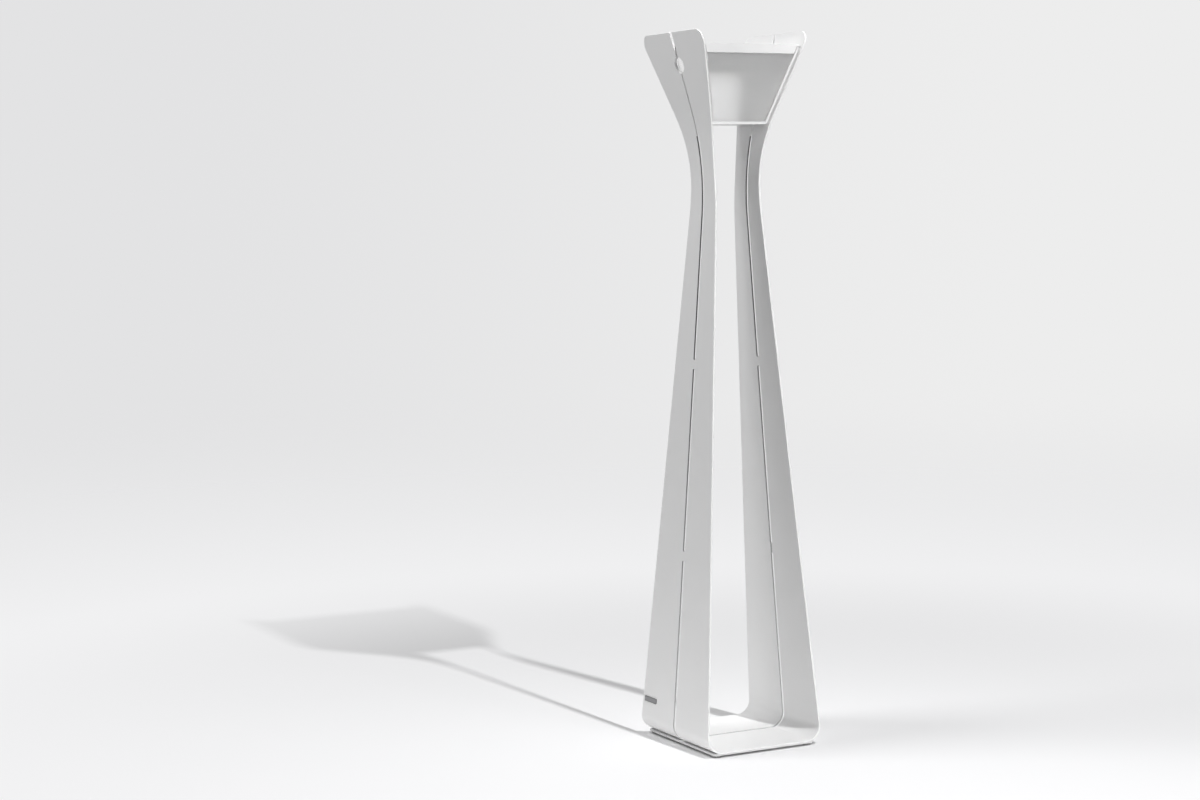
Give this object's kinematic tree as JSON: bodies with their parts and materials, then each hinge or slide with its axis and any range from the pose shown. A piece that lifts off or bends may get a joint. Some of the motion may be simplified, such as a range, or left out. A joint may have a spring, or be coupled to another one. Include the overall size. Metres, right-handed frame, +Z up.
{
  "type": "solar floor lamp",
  "caption": "Free-standing solar floor lamp: a slit, bent sheet-metal stand like an hourglass whose flared wings hold a tapered lantern with frosted panels, a solar lid and a push button.",
  "frame": {"origin": "floor level, under the middle of the lamp", "axes": "+Z up; +X from the wing with the push button to the plain wing; the lantern's panels face -Y and +Y"},
  "size_m": [0.2756, 0.289, 1.5],
  "materials": {
    "stand_coat": "satin powder coat",
    "plate_coat": "satin powder coat",
    "screw_steel": "zinc plated",
    "foot_rubber": "matt",
    "lantern_coat": "satin powder coat",
    "frosted_panel": "frosted",
    "stop_bar": "mill finish",
    "lid_shell": "semi-gloss",
    "solar_glass": "clear, tempered",
    "solar_cell": "dark silicon",
    "back_sheet": "film",
    "gear_plastic": "moulded",
    "board_metal": "white solder mask",
    "led_phosphor": "phosphor",
    "holder_plastic": "moulded",
    "cell_wrap": "shrink film",
    "circuit_board": "solder mask",
    "dark_component": "moulded",
    "button_steel": "satin stainless",
    "gasket_rubber": "matt",
    "lead_jacket": "matt"
  },
  "bodies": {
    "frame": {"frame_strip": "stand_coat", "ballast_plate": "plate_coat", "ballast_screws": "screw_steel", "feet": "foot_rubber"},
    "lantern": {"cradle": "lantern_coat", "rear_diffuser": "frosted_panel", "front_diffuser": "frosted_panel", "diffuser_stops": "stop_bar", "lid_frame": "lid_shell", "lid_screws": "screw_steel", "solar_glass": "solar_glass", "solar_cells": "solar_cell", "solar_backsheet": "back_sheet", "gear_box": "gear_plastic", "gear_box_screws": "screw_steel", "led_board": "board_metal", "leds": "led_phosphor", "battery_holder": "holder_plastic", "battery_cells": "cell_wrap", "control_board": "circuit_board", "board_parts": "dark_component", "button_gasket": "gasket_rubber", "button_housing": "gear_plastic", "switch_board": "circuit_board", "switch_body": "dark_component", "switch_lead": "lead_jacket"},
    "button": {"button_cap": "button_steel"}
  },
  "joints": [
    {"name": "lantern_lift", "type": "slide", "parent": "frame", "child": "lantern", "axis": [0, 0, 1], "range_m": [0, 0.2]},
    {"name": "button_press", "type": "slide", "parent": "lantern", "child": "button", "axis": [0.9563, 0, 0.2924], "range_m": [0, 0.002], "stiffness_N_per_m": 500, "springref_m": -0.001}
  ]
}
